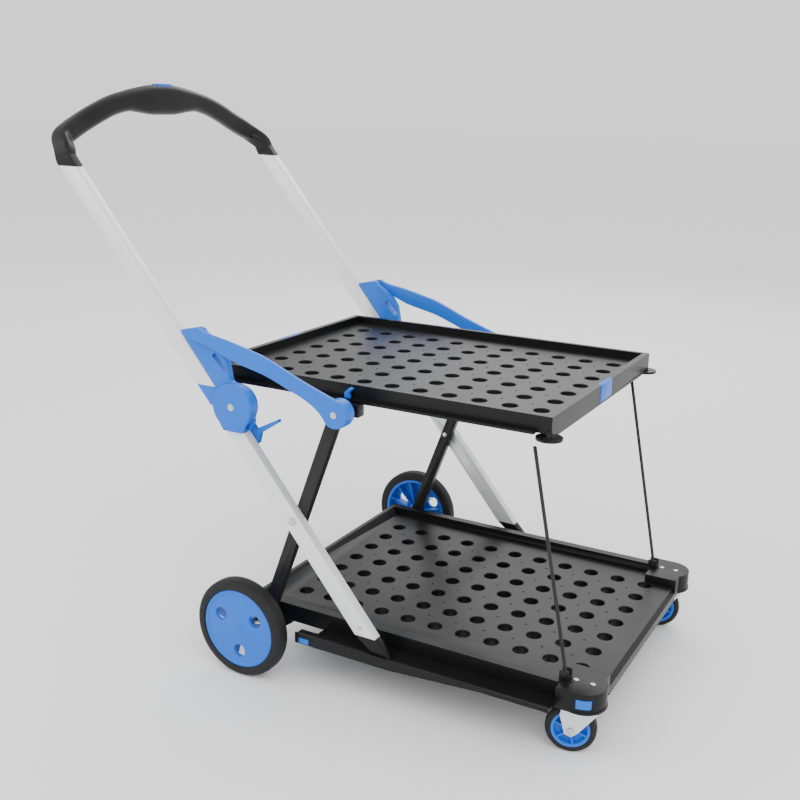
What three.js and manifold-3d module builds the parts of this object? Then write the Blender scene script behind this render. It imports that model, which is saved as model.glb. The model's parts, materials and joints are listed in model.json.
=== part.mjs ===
// Folding two-deck hand cart: scissor frame, perforated top tray and platform,
// two large rear wheels, two swivel casters and a fold-over handle.
// Millimetres, +X towards the casters, +Y to the left, +Z up.
// Every X below is measured from the rear axle; the finished cart is centred at the end.
import * as THREE from 'three';
import { mergeVertices } from 'three/addons/utils/BufferGeometryUtils.js';
import Module from 'manifold-3d';

const wasm = await Module();
wasm.setup();

// ---- driving dimensions -------------------------------------------------
const wheelRadius = 90;
const wheelWidth = 30;
const casterRadius = 41;
const casterWidth = 24;
const casterTrail = 16;
const casterSwivel = 15;          // degrees, the way both casters are turned
const platformLength = 651;
const platformRearOverhang = 24;  // platform behind the axle
const platformFloorRise = 16;     // platform floor above the rear axle
const rimHeight = 14;             // rim above the floor, platform and tray alike
const plateThickness = 4;
const rimWidth = 17;
const strutNotchLength = 34;      // room for the struts at the rear of each channel
const drumInset = 50;             // caster housings reach this far in under the floor's edge
const housingRear = 34;           // housing behind its kingpin
const trayLength = 644;
const trayRearX = -120;
const trayHalfWidth = 249;
const trayRimTop = 540;
const trayWallDepth = 27;         // rim top down to the guide lip
const trayRimWidth = 9;
const guideLipWidth = 13;
const clipDepth = 7;
const clipHalfWidth = 28;
const frontClipHeight = 30;
const rearClipHeight = 12;
const platformHoleMargin = [57, 68];  // outermost hole centres from the ends and the sides
const trayHoleMargin = [53.5, 72];
const holeColumns = 11;
const holeRows = 7;
const trayHoleRadius = 13;
const platformHoleRadius = 13.5;
const tubeThickness = 17.6;       // across the cart
const tubeDepth = 29.8;           // along the cart, square to the tube
const tubeWall = 1.8;
const tubeLean = 39.65;           // degrees from upright, leaning to the rear
const strutThickness = 14;
const strutGap = 8;               // strut clear of the platform's raised rim
const shoeWidth = 19.7;           // pads the tray slides on, across the cart
const strutDepth = 22;
const strutFootOffset = 18;       // the bar's own line passes this far in front of the axle
const strutTopOffset = -12;       // and this far behind the top pin
const topPinX = 180;
const topPinDrop = 10;            // below the tray's guide lip
const crossPinDrop = 204.4;       // below the top pin
const lowerTubeFoot = 22.8;       // end of the tube above its foot pivot
const upperTubeTopZ = 866;
const sliderRise = 10;            // foot pivot above the rear axle
const hingeForward = 35.55;       // hinge pin in front of the tube's centre line
const hingeDrop = 19.7;           // hinge pin below the top pin
const hingeRadius = 40.5;
const lowerTubeGap = 44.4;        // end of the lower tube below the hinge pin
const upperTubeGap = 27.9;        // end of the upper tube above the hinge pin
const linkTopBack = 74.4;         // link pivot behind the hinge pin
const linkTopRise = 97;           // link pivot above the top pin
const bowRise = 52;               // grip bow's own level above the ends of the tubes
const gripTravel = 4;
const handleDepth = 36;
const sleeveWall = 1.8;
const stayFootBack = 58;          // behind the platform's front edge
const stayFootRise = 7;           // above the platform's rim
const stayTopBack = 28.3;         // behind the tray's front edge
const stayTopDrop = 24.6;         // below the tray's guide lip
const stayRadius = 3;
const stayFootRadius = 4;

// ---- clearances ---------------------------------------------------------
const seat = 0.3;                 // faces that rest on each other
const running = 0.3;              // radial play of a pin in its bore
const slide = 2;                  // side play between moving frames

// ---- derived places -----------------------------------------------------
const radians = Math.PI / 180;
const leanSlope = Math.tan(tubeLean * radians);
const leanStretch = 1 / Math.cos(tubeLean * radians);
const shoeInnerY = trayHalfWidth + slide / 2;
const shoeOuterY = shoeInnerY + shoeWidth;
const strutInnerY = shoeOuterY + seat;
const strutOuterY = strutInnerY + strutThickness;
const tubeInnerY = strutOuterY + seat;
const tubeOuterY = tubeInnerY + tubeThickness;
const cheekInnerY = strutOuterY - 8;
const cheekOuterY = tubeOuterY + 8;
const linkOuterY = tubeOuterY + 10.1;
const wheelInnerY = cheekOuterY + 1.6;
const wheelOuterY = wheelInnerY + wheelWidth;
const trayLipBottom = trayRimTop - trayWallDepth;
const trayLipTop = trayLipBottom + plateThickness;
const topPinZ = trayLipBottom - topPinDrop;
const crossPinZ = topPinZ - crossPinDrop;
const crossPinX = topPinX * (crossPinZ - wheelRadius) / (topPinZ - wheelRadius);
const trayFloorTop = trayRimTop - rimHeight;
const trayFrontX = trayRearX + trayLength;
const trayWallBottom = trayLipBottom - 7;
const platformRearX = -platformRearOverhang;
const platformFrontX = platformRearX + platformLength;
const platformFloorTop = wheelRadius + platformFloorRise;
const platformRimTop = platformFloorTop + rimHeight;
const platformRimOuterY = strutInnerY - strutGap;
const platformInnerHalfWidth = platformRimOuterY - rimWidth;
const sliderZ = wheelRadius + sliderRise;
const lowerTubeBottomZ = sliderZ + lowerTubeFoot;
const hingeZ = topPinZ - hingeDrop;
const hingeX = tubeCentreX(hingeZ) + hingeForward;
const lowerTubeTopZ = hingeZ - lowerTubeGap;
const upperTubeBottomZ = hingeZ + upperTubeGap;
const linkTopX = hingeX - linkTopBack;
const linkTopZ = topPinZ + linkTopRise;
const bowZ = upperTubeTopZ + bowRise;
const stayFootX = platformFrontX - stayFootBack;
const stayFootZ = platformRimTop + stayFootRise;
const stayTopX = trayFrontX - stayTopBack;
const stayTopZ = trayLipBottom - stayTopDrop;
const channelTop = sliderZ - 7.5;
const channelLipY = tubeOuterY + 0.6;
const channelOuterY = channelLipY + 3.5;
const skirtBottom = wheelRadius - 13;
const channelRearX = wheelRadius + 8;
const cutBottom = skirtBottom - 17;   // cuts that pass right through the platform start here
const kingpinX = platformFrontX - 26;
const kingpinY = platformInnerHalfWidth - 1;
const housingRadius = 37;
const housingBottom = 2 * casterRadius + 3.3;
const flangeWidth = 1.5;
const releaseTop = platformRimTop - 10;
const releaseBottom = releaseTop - 15;
const releaseTravel = 3;
const axleRadius = 6;
const pinRadius = 5;
const kingpinRadius = 11;
const linkPinRadius = 4;
const stayY = platformInnerHalfWidth - 3;
const footX = tubeCentreX(sliderZ);
const bowX = tubeCentreX(bowZ);

function tubeCentreX(z) {
  return crossPinX - leanSlope * (z - crossPinZ);
}

// ---- shape helpers --------------------------------------------------------
function solid(geometry) {
  geometry.deleteAttribute('normal');
  geometry.deleteAttribute('uv');
  const merged = mergeVertices(geometry, 1e-4);
  const vertProperties = new Float32Array(merged.attributes.position.array);
  const corners = merged.index.array;
  const kept = [];
  for (let i = 0; i < corners.length; i += 3) {
    const [a, b, c] = corners.slice(i, i + 3);
    if (a !== b && b !== c && c !== a) {
      kept.push(a, b, c);
    }
  }
  const triVerts = new Uint32Array(kept);
  return new wasm.Manifold(new wasm.Mesh({ numProp: 3, vertProperties, triVerts }));
}

function shapeOf(points) {
  return new THREE.Shape(points.map(([u, v]) => new THREE.Vector2(u, v)));
}

// Side-view outline in (x, z), between two distances from the centre plane.
function sidePlate(points, innerY, outerY, sign) {
  const geometry = new THREE.ExtrudeGeometry(shapeOf(points), {
    depth: outerY - innerY, bevelEnabled: false, curveSegments: 6,
  });
  geometry.rotateX(Math.PI / 2);
  geometry.translate(0, sign > 0 ? outerY : -innerY, 0);
  return solid(geometry);
}

// Plan outline in (x, y), between two heights.
function planPlate(points, bottomZ, topZ) {
  const geometry = new THREE.ExtrudeGeometry(shapeOf(points), {
    depth: topZ - bottomZ, bevelEnabled: false,
  });
  geometry.translate(0, 0, bottomZ);
  return solid(geometry);
}

// Cross-section outline in (y, z), run along X.
function longSection(points, rearX, frontX) {
  const geometry = new THREE.ExtrudeGeometry(shapeOf(points), {
    depth: frontX - rearX, bevelEnabled: false,
  });
  geometry.rotateY(Math.PI / 2);
  geometry.rotateX(Math.PI / 2);
  geometry.translate(rearX, 0, 0);
  return solid(geometry);
}

function block(x0, x1, y0, y1, z0, z1) {
  const geometry = new THREE.BoxGeometry(x1 - x0, Math.abs(y1 - y0), z1 - z0);
  geometry.translate((x0 + x1) / 2, (y0 + y1) / 2, (z0 + z1) / 2);
  return solid(geometry);
}

function crossRod(x, z, radius, innerY, outerY, sign, sides = 20) {
  const geometry = new THREE.CylinderGeometry(radius, radius, outerY - innerY, sides);
  geometry.translate(0, sign * (innerY + outerY) / 2, 0);
  geometry.translate(x, 0, z);
  return solid(geometry);
}

function uprightRod(x, y, radius, bottomZ, topZ, sides = 20) {
  const geometry = new THREE.CylinderGeometry(radius, radius, topZ - bottomZ, sides);
  geometry.rotateX(Math.PI / 2);
  geometry.translate(x, y, (bottomZ + topZ) / 2);
  return solid(geometry);
}

// Ring turned about the cross axis. The profile of [radius, distance from the centre plane]
// runs anticlockwise, and closes on itself unless it starts on the axis.
function turned(profile, sign = 1, sides = 32) {
  const points = profile.map(([radius, y]) => new THREE.Vector2(radius, sign * y));
  if (profile[0][0] > 0) {
    points.push(points[0].clone());
  }
  if (sign < 0) {
    points.reverse();
  }
  return solid(new THREE.LatheGeometry(points, sides));
}

function roundEnded(x0, z0, r0, x1, z1, r1, steps = 8) {
  const heading = Math.atan2(z1 - z0, x1 - x0);
  const points = [];
  for (let i = 0; i <= steps; i++) {
    const a = heading + Math.PI / 2 + Math.PI * i / steps;
    points.push([x0 + r0 * Math.cos(a), z0 + r0 * Math.sin(a)]);
  }
  for (let i = 0; i <= steps; i++) {
    const a = heading - Math.PI / 2 + Math.PI * i / steps;
    points.push([x1 + r1 * Math.cos(a), z1 + r1 * Math.sin(a)]);
  }
  return points;
}

function disc(x, z, radius, innerY, outerY, sign, sides = 28) {
  return crossRod(x, z, radius, innerY, outerY, sign, sides);
}

// Stretch of the leaning tube between two level cuts, made thinner all round by inset.
function tubeLength(bottomZ, topZ, inset, sign) {
  const half = (tubeDepth / 2 - inset) * leanStretch;
  const outline = [
    [tubeCentreX(bottomZ) - half, bottomZ],
    [tubeCentreX(bottomZ) + half, bottomZ],
    [tubeCentreX(topZ) + half, topZ],
    [tubeCentreX(topZ) - half, topZ],
  ];
  return sidePlate(outline, tubeInnerY + inset, tubeOuterY - inset, sign);
}

// Rows and columns of round cutters that keep their margins from the ends and the sides.
function holeGrid(rearX, frontX, halfWidth, margin, centreShift, radius, bottomZ, topZ) {
  const holes = [];
  const [endMargin, sideMargin] = margin;
  const centreX = (rearX + frontX) / 2 + centreShift;
  const pitchX = (frontX - rearX - 2 * endMargin) / (holeColumns - 1);
  const pitchY = 2 * (halfWidth - sideMargin) / (holeRows - 1);
  for (let column = 0; column < holeColumns; column++) {
    for (let row = 0; row < holeRows; row++) {
      const x = centreX + (column - (holeColumns - 1) / 2) * pitchX;
      const y = (row - (holeRows - 1) / 2) * pitchY;
      holes.push(uprightRod(x, y, radius, bottomZ, topZ, 8));
    }
  }
  return wasm.Manifold.union(holes);
}

// ---- materials ------------------------------------------------------------
const finishes = {
  black: [0x1c1c1b, 0.42, 0],
  blue: [0x2a77d6, 0.4, 0],
  aluminium: [0xe2e4e2, 0.35, 0.6],
  rubber: [0x18181a, 0.8, 0],
  zinc: [0xc9ccce, 0.38, 0.8],
  steel: [0x9a9c9e, 0.35, 1],
  coated: [0x161616, 0.4, 0.2],
};

function part(name, body, finish) {
  const data = body.getMesh();
  const geometry = new THREE.BufferGeometry();
  geometry.setAttribute('position', new THREE.BufferAttribute(data.vertProperties, 3));
  geometry.setIndex(new THREE.BufferAttribute(data.triVerts, 1));
  geometry.computeVertexNormals();
  const [color, roughness, metalness] = finishes[finish];
  const material = new THREE.MeshStandardMaterial({ color, roughness, metalness });
  const mesh = new THREE.Mesh(geometry, material);
  mesh.name = name;
  return mesh;
}

const sides = [['left', 1], ['right', -1]];
const cart = new THREE.Group();

// ---- platform ---------------------------------------------------------------
function platformHalfSection(sign) {
  const inner = platformInnerHalfWidth;
  const t = plateThickness;
  const outline = [
    [0, platformFloorTop - t], [0, platformFloorTop],
    [inner, platformFloorTop], [inner, platformRimTop],
    [platformRimOuterY, platformRimTop], [platformRimOuterY, channelTop],
    [channelLipY, channelTop], [channelLipY, channelTop + 3.5],
    [channelOuterY, channelTop + 3.5], [channelOuterY, skirtBottom],
    [channelLipY, skirtBottom], [channelLipY, channelTop - t],
    [platformRimOuterY - t, channelTop - t], [platformRimOuterY - t, platformRimTop - t],
    [inner + t, platformRimTop - t], [inner + t, platformFloorTop - t],
  ];
  return outline.map(([y, z]) => [sign * y, z]);
}

function platform() {
  const left = platformHalfSection(1);
  const right = platformHalfSection(-1).slice(2).reverse();
  let body = longSection([...left.slice(1), ...right], platformRearX, platformFrontX - 6);
  const t = plateThickness;
  const rearRim = [
    [platformRearX, platformRimTop], [platformRearX + 8, platformRimTop],
    [platformRearX + 22, platformFloorTop], [platformRearX + 22, platformFloorTop - t],
    [platformRearX + t, platformFloorTop - t], [platformRearX + t, skirtBottom],
    [platformRearX, skirtBottom],
  ];
  body = body.add(sidePlate(rearRim, -platformRimOuterY, platformRimOuterY, 1));
  const frontLip = [
    [platformFrontX - 16, platformFloorTop], [platformFrontX - 14, platformFloorTop - 2],
    [platformFrontX, platformFloorTop - 11], [platformFrontX, skirtBottom + 3],
    [platformFrontX - t, skirtBottom + 3], [platformFrontX - t, platformFloorTop - 15],
    [platformFrontX - 16, platformFloorTop - t],
  ];
  body = body.add(sidePlate(frontLip, -platformInnerHalfWidth, platformInnerHalfWidth, 1));
  for (const [, sign] of sides) {
    const outer = platformRimOuterY;
    const bossTop = platformRimTop - 1;
    body = body.add(sidePlate([
      [platformRearX, skirtBottom - 4], [46, skirtBottom - 4], [60, skirtBottom + 6],
      [60, bossTop], [platformRearX, bossTop],
    ], outer - 10, outer, sign));
    const wheelBay = block(platformRearX - 1, channelRearX, sign * outer,
      sign * (channelOuterY + 1), cutBottom, platformRimTop + 1);
    const strutNotch = block(channelRearX - 1, channelRearX + strutNotchLength, sign * outer,
      sign * (strutOuterY + 1), cutBottom, channelTop + 1);
    body = body.subtract(wheelBay.add(strutNotch));
    const risingEdge = [
      [270, skirtBottom - 1], [platformFrontX + 1, skirtBottom - 1],
      [platformFrontX + 1, channelTop - t - 0.1], [450, channelTop - t - 0.1],
    ];
    body = body.subtract(sidePlate(risingEdge, channelLipY - 1, channelOuterY + 1, sign));
    body = body.subtract(cornerPocket(sign, seat));
    body = body.subtract(crossRod(0, wheelRadius, axleRadius + seat, 200, outer + 1, sign));
    body = body.subtract(sideButtonSlot(sign));
  }
  return body.subtract(holeGrid(platformRearX, platformFrontX, platformInnerHalfWidth,
    platformHoleMargin, 3, platformHoleRadius, platformFloorTop - 16, platformFloorTop + 5));
}

// Space taken out of a front corner for the caster housing.
function cornerPocket(sign, gap) {
  const y0 = platformInnerHalfWidth - drumInset - gap;
  const outline = [
    [kingpinX - housingRear - gap, sign * y0], [platformFrontX + 30, sign * y0],
    [platformFrontX + 30, sign * (channelOuterY + 2)],
    [kingpinX - housingRear - gap, sign * (channelOuterY + 2)],
  ];
  const drum = uprightRod(kingpinX, sign * kingpinY, housingRadius + flangeWidth + gap,
    cutBottom, platformRimTop + 5, 32);
  return planPlate(outline, cutBottom, platformRimTop + 5).add(drum);
}

function casterHousing(sign) {
  const y0 = platformInnerHalfWidth - drumInset;
  const rear = kingpinX - housingRear;
  const outerEdge = kingpinY + housingRadius;
  const outline = [
    [rear, sign * y0], [platformFrontX, sign * y0], [platformFrontX, sign * kingpinY],
    [kingpinX, sign * outerEdge], [rear, sign * outerEdge],
  ];
  let body = planPlate(outline, housingBottom, platformRimTop);
  body = body.add(uprightRod(kingpinX, sign * kingpinY, housingRadius, housingBottom,
    platformRimTop, 32));
  body = body.add(uprightRod(kingpinX, sign * kingpinY, housingRadius + flangeWidth,
    housingBottom, housingBottom + 4, 32));
  body = body.subtract(uprightRod(kingpinX, sign * kingpinY, kingpinRadius + running,
    housingBottom - 15, platformRimTop - 12, 24));
  return body.subtract(releaseButtonSpace(sign, seat, releaseTravel + seat));
}

// Window for the release button, gap wider all round and deeper inwards.
function releaseButtonSpace(sign, gap, deeper) {
  const y = kingpinY + housingRadius - 17;
  return block(kingpinX - gap, kingpinX + 23 + gap, sign * (y - deeper), sign * (y + 30),
    releaseBottom - gap, releaseTop + gap);
}

function releaseButton(sign) {
  const drum = uprightRod(kingpinX, sign * kingpinY, housingRadius + flangeWidth, releaseBottom,
    releaseTop, 32);
  return drum.intersect(releaseButtonSpace(sign, 0, 0));
}

function sideButtonSlot(sign) {
  return block(channelRearX + 8 - seat, channelRearX + 28 + seat, sign * (channelLipY - 8),
    sign * (channelOuterY + 2), skirtBottom + 1.5 - seat, skirtBottom + 11 + seat);
}

function sideButton(sign) {
  return block(channelRearX + 8, channelRearX + 28, sign * (channelLipY - 2),
    sign * (channelOuterY + 1.5), skirtBottom + 1.5, skirtBottom + 11);
}

// ---- wheels -------------------------------------------------------------------
function rearTyre(sign) {
  const bead = wheelRadius - 17.7;
  const profile = [
    [bead, wheelInnerY], [wheelRadius - 6, wheelInnerY], [wheelRadius, wheelInnerY + 6],
    [wheelRadius, wheelOuterY - 8], [wheelRadius - 7, wheelOuterY - 1], [bead, wheelOuterY],
  ];
  return turned(profile, sign, 48).translate([0, 0, wheelRadius]);
}

function rearRim(sign) {
  const rim = wheelRadius - 17.7 - seat;
  const bore = axleRadius + running;
  const face = wheelOuterY - 1;
  const profile = [
    [0, face - 3], [bore, face - 3], [bore, wheelInnerY], [16, wheelInnerY], [16, face - 6],
    [rim - 6, face - 6], [rim - 6, wheelInnerY + 2], [rim, wheelInnerY + 2], [rim, face], [0, face],
  ];
  let body = turned(profile, sign, 36);
  const hub = (rim + 12) / 2;       // ring of three round holes midway across the dish
  for (let i = 0; i < 3; i++) {
    const a = (i * 120 + 32) * radians;
    body = body.subtract(crossRod(hub * Math.cos(a), hub * Math.sin(a), 11.5, face - 12, face + 2, sign, 16));
  }
  return body.translate([0, 0, wheelRadius]);
}

function rearAxle() {
  const end = wheelOuterY - 6;
  let body = crossRod(0, wheelRadius, axleRadius, -end, end, 1, 20);
  for (const [, sign] of sides) {
    body = body.add(crossRod(0, wheelRadius, 9, strutOuterY + seat, wheelInnerY - seat, sign, 20));
  }
  return body;
}

// ---- casters --------------------------------------------------------------------
// Sets down a piece drawn around the caster's own wheel, its kingpin at casterTrail.
function swivelled(body, sign) {
  return body.translate([-casterTrail, 0, 0]).rotate([0, 0, casterSwivel])
    .translate([kingpinX, sign * kingpinY, 0]);
}

function casterFork(sign) {
  const legInner = casterWidth / 2 + 1.5;
  const legOuter = legInner + 3;
  const top = housingBottom - 0.5;
  const leg = [[-9, casterRadius - 6], [2, casterRadius - 10], [12, casterRadius - 2],
    [casterTrail + 24, top - 10], [casterTrail + 24, top], [-14, top], [-18, top - 16]];
  let body = sidePlate(leg, legInner, legOuter, 1).add(sidePlate(leg, legInner, legOuter, -1));
  body = body.add(block(-14, casterTrail + 24, -legOuter, legOuter, top - 2, top));
  body = body.add(uprightRod(casterTrail, 0, 24, top - 2, top, 28));
  body = body.add(uprightRod(casterTrail, 0, kingpinRadius, top - 2, platformRimTop - 12.5, 24));
  body = body.subtract(crossRod(0, casterRadius, 4 + seat, -legOuter - 1, legOuter + 1, 1, 16));
  return swivelled(body, sign);
}

function casterTyre(sign) {
  const half = casterWidth / 2;
  const bead = casterRadius - 9.7;
  const profile = [[bead, -half], [casterRadius - 5, -half], [casterRadius, -half + 5],
    [casterRadius, half - 5], [casterRadius - 5, half], [bead, half]];
  return swivelled(turned(profile, 1, 36).translate([0, 0, casterRadius]), sign);
}

function casterRim(sign) {
  const half = casterWidth / 2;
  const rim = casterRadius - 9.7 - seat;
  const profile = [[4 + running, -half], [9, -half], [9, -3], [rim - 5, -3], [rim - 5, -half + 1],
    [rim, -half + 1], [rim, half - 1], [rim - 5, half - 1], [rim - 5, 3], [9, 3], [9, half],
    [4 + running, half]];
  let body = turned(profile, 1, 28);
  for (let i = 0; i < 6; i++) {
    const a = i * 60 * radians;
    body = body.subtract(crossRod(19 * Math.cos(a), 19 * Math.sin(a), 5, -5, 5, 1, 10));
  }
  return swivelled(body.translate([0, 0, casterRadius]), sign);
}

function casterBolt(sign) {
  const half = casterWidth / 2 + 4.5;
  let body = crossRod(0, casterRadius, 4, -half - 3, half + 3, 1, 16);
  for (const end of [1, -1]) {
    body = body.add(crossRod(0, casterRadius, 6.5, half + seat, half + 3.5, end, 6));
  }
  return swivelled(body, sign);
}

// ---- scissor frame ----------------------------------------------------------------
function strut(sign) {
  const half = strutDepth / 2;
  const headX = topPinX + strutTopOffset;
  const bar = roundEnded(strutFootOffset, wheelRadius, half, headX, topPinZ, half);
  let body = sidePlate(bar, strutInnerY, strutOuterY, sign);
  const footLug = roundEnded(0, wheelRadius, half + 1, strutFootOffset, wheelRadius + 14, half);
  const headLug = roundEnded(headX, topPinZ - 14, half, topPinX, topPinZ, half + 1);
  body = body.add(sidePlate(footLug, strutInnerY, strutOuterY, sign));
  body = body.add(sidePlate(headLug, strutInnerY, strutOuterY, sign));
  for (const [x, z, bore] of [
    [0, wheelRadius, axleRadius + running], [crossPinX, crossPinZ, pinRadius + seat],
    [topPinX, topPinZ, pinRadius + seat],
  ]) {
    body = body.subtract(crossRod(x, z, bore, strutInnerY - 1, strutOuterY + 1, sign));
  }
  return body;
}

function crossPin(sign) {
  const shank = crossRod(crossPinX, crossPinZ, pinRadius, strutInnerY, tubeOuterY + seat, sign);
  return shank.add(crossRod(crossPinX, crossPinZ, 7, tubeOuterY + seat, tubeOuterY + 2, sign));
}

function topPin(sign) {
  return crossRod(topPinX, topPinZ, pinRadius, shoeInnerY + 1, linkOuterY, sign);
}

function hollowTube(bottomZ, topZ, sign) {
  const bore = tubeLength(bottomZ - 1, topZ + 1, tubeWall, sign);
  return tubeLength(bottomZ, topZ, 0, sign).subtract(bore);
}

function lowerTube(sign) {
  const body = hollowTube(lowerTubeBottomZ, lowerTubeTopZ, sign);
  const bore = pinRadius + running;
  return body.subtract(crossRod(crossPinX, crossPinZ, bore, tubeInnerY - 1, tubeOuterY + 1, sign));
}

function upperTube(sign) {
  return hollowTube(upperTubeBottomZ, upperTubeTopZ, sign);
}

function footPlug(sign) {
  const half = tubeDepth / 2 * leanStretch;
  const top = lowerTubeBottomZ - seat;
  const heel = sliderZ - channelTop - 1.5;
  const outline = [
    [tubeCentreX(top) - half, top],
    [footX + heel * Math.cos(3.6), sliderZ + heel * Math.sin(3.6)],
    [footX + heel * Math.cos(4.1), sliderZ + heel * Math.sin(4.1)],
    [footX, sliderZ - heel],
    [footX + half + 8, sliderZ - heel],
    [tubeCentreX(top) + half, top],
  ];
  const spigot = tubeLength(lowerTubeBottomZ - 1, lowerTubeBottomZ + 30, tubeWall + seat, sign);
  return sidePlate(outline, tubeInnerY, tubeOuterY, sign).add(spigot);
}

function lowerHinge(sign) {
  const half = tubeDepth / 2 * leanStretch;
  const foot = lowerTubeTopZ + seat;
  const cheek = [
    [tubeCentreX(foot) - half, foot], [tubeCentreX(foot) + half, foot],
    [hingeX + hingeRadius * 0.75, hingeZ - hingeRadius * 0.66],
    [hingeX, hingeZ], [tubeCentreX(foot + 38) - half, foot + 38],
  ];
  const stop = [
    [tubeCentreX(foot) - half, foot], [tubeCentreX(foot) + half, foot],
    [tubeCentreX(foot) + half + 4, foot + 4], [tubeCentreX(foot + 4) - half, foot + 4],
  ];
  let body = sidePlate(stop, cheekInnerY, cheekOuterY, sign);
  for (const [inner, outer, radius] of [
    [cheekInnerY, tubeInnerY, hingeRadius - 7], [tubeOuterY, cheekOuterY, hingeRadius],
  ]) {
    body = body.add(sidePlate(cheek, inner, outer, sign));
    body = body.add(disc(hingeX, hingeZ, radius, inner, outer, sign, 32));
  }
  body = body.add(tubeLength(lowerTubeTopZ - 25, foot + 2, tubeWall + seat, sign));
  return body.subtract(crossRod(hingeX, hingeZ, pinRadius + seat, cheekInnerY - 1, cheekOuterY + 1, sign));
}

// Upper hinge socket with the short arm that carries the link.
function upperHinge(sign) {
  const half = tubeDepth / 2 * leanStretch;
  const top = upperTubeBottomZ - seat;
  const low = lowerTubeTopZ + 20;   // the socket's tip reaches down behind the disc
  const socket = [
    [tubeCentreX(top) - half, top], [tubeCentreX(low) - half, low],
    [tubeCentreX(low) - half + 14, low], [hingeX, hingeZ], [tubeCentreX(top) + half, top],
  ];
  const inner = tubeInnerY + seat;
  const outer = tubeOuterY - seat;
  const r = hingeRadius - 2.5;
  let body = sidePlate(socket, inner, outer, sign);
  body = body.add(disc(hingeX, hingeZ, r, inner, outer, sign, 32));
  body = body.add(tubeLength(top - 1, upperTubeBottomZ + 25, tubeWall + seat, sign));
  const front = (z) => tubeCentreX(z) + half + seat;
  const arm = [
    [front(hingeZ + 34), hingeZ + 34], [hingeX, hingeZ], [hingeX + 3, hingeZ + 30],
    [hingeX - 10, hingeZ + 42], [hingeX - 16, hingeZ + 80],
    [linkTopX + 12, linkTopZ + 2], [linkTopX + 4, linkTopZ + 10], [linkTopX - 9, linkTopZ + 8],
    [front(linkTopZ + 2), linkTopZ + 2],
  ];
  body = body.add(sidePlate(arm, inner + 2, outer - 2, sign));
  const slot = roundEnded(hingeX - 42, hingeZ + 86, 4.5, hingeX - 16, hingeZ + 60, 4.5);
  body = body.subtract(sidePlate(slot, inner - 1, outer + 1, sign));
  body = body.add(crossRod(linkTopX, linkTopZ, linkPinRadius, inner + 1, outer, sign, 16));
  return body.subtract(crossRod(hingeX, hingeZ, pinRadius + running, inner - 1, outer + 1, sign));
}

function hingePin(sign) {
  return crossRod(hingeX, hingeZ, pinRadius, cheekInnerY, cheekOuterY, sign);
}

function releaseLever(sign) {
  const outer = cheekInnerY - seat;
  const inner = outer - 11;
  const outline = [
    [4.6, -35.3], [14.6, -31.3], [24.6, -43.3], [70.6, -19.3], [73.6, -23.3], [34.6, -49.3],
    [29.6, -69.3], [24.6, -69.3],
  ].map(([x, z]) => [hingeX + x, hingeZ + z]);
  return sidePlate(outline, inner, outer, sign);
}

function link(sign) {
  const arm = [
    [linkTopX - 10, linkTopZ - 9], [linkTopX - 8, linkTopZ + 9], [linkTopX + 6, linkTopZ + 12],
    [linkTopX + 23, linkTopZ + 5], [linkTopX + 115, linkTopZ - 15], [topPinX - 76, topPinZ + 51],
    [topPinX + 12, topPinZ + 20], [topPinX, topPinZ], [topPinX - 22, topPinZ - 6],
    [topPinX - 84, topPinZ + 27], [linkTopX + 73, linkTopZ - 34], [linkTopX + 39, linkTopZ - 22],
  ];
  let body = sidePlate(arm, tubeOuterY + 0.6, linkOuterY, sign);
  body = body.add(disc(topPinX, topPinZ, 23.5, strutOuterY + seat, linkOuterY, sign, 28));
  const bore = pinRadius + running;
  return body.subtract(crossRod(topPinX, topPinZ, bore, strutInnerY, linkOuterY + 1, sign));
}

// ---- handle ---------------------------------------------------------------------------
// Upright arched bow in the plane where the tube line reaches bowZ: points are
// [distance from the centre plane, height above bowZ].
function handle() {
  const end = tubeOuterY + 1.1;
  const outer = [[0, 91], [50, 88], [end - 193, 79], [end - 133, 60], [end - 78, 38], [end - 33, 21],
    [end - 15, 14], [end - 4, 4], [end, -9], [end, -27]];
  const inner = [[end - 41, -27], [end - 42, -21], [end - 53, -16], [end - 78, -4], [end - 133, 19],
    [end - 163, 31], [end - 193, 39], [end - 213, 41], [45, 36], [0, 32]];
  const half = [...outer, ...inner];
  const other = half.slice(1, -1).reverse().map(([y, t]) => [-y, t]);
  const outline = [...half, ...other].map(([y, t]) => [y, bowZ + t]);
  let body = longSection(outline, bowX - handleDepth / 2, bowX + handleDepth / 2);
  const rearEdge = (z) => tubeCentreX(z) - tubeDepth / 2 * leanStretch - sleeveWall;
  const heel = [[rearEdge(bowZ) - 60, bowZ - 30], [rearEdge(bowZ - 30), bowZ - 30],
    [rearEdge(bowZ - 6), bowZ - 6], [rearEdge(bowZ) - 60, bowZ - 6]];
  for (const [, sign] of sides) {
    body = body.subtract(sidePlate(heel, end - 48, end + 7, sign));
    body = body.add(tubeLength(upperTubeTopZ + seat, bowZ - 8, -sleeveWall, sign));
    body = body.add(tubeLength(upperTubeTopZ - 30, upperTubeTopZ + 2, tubeWall + seat, sign));
  }
  return body.subtract(gripButton(seat, gripTravel + seat));
}

// Thumb button in the top of the bow, gap wider all round and deeper downwards.
function gripButton(gap, deeper) {
  return block(bowX - 9 - gap, bowX + 9 + gap, -21 - gap, 21 + gap, bowZ + 80 - deeper,
    bowZ + 92 + gap);
}

function handleButton() {
  return gripButton(0, 0);
}

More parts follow.
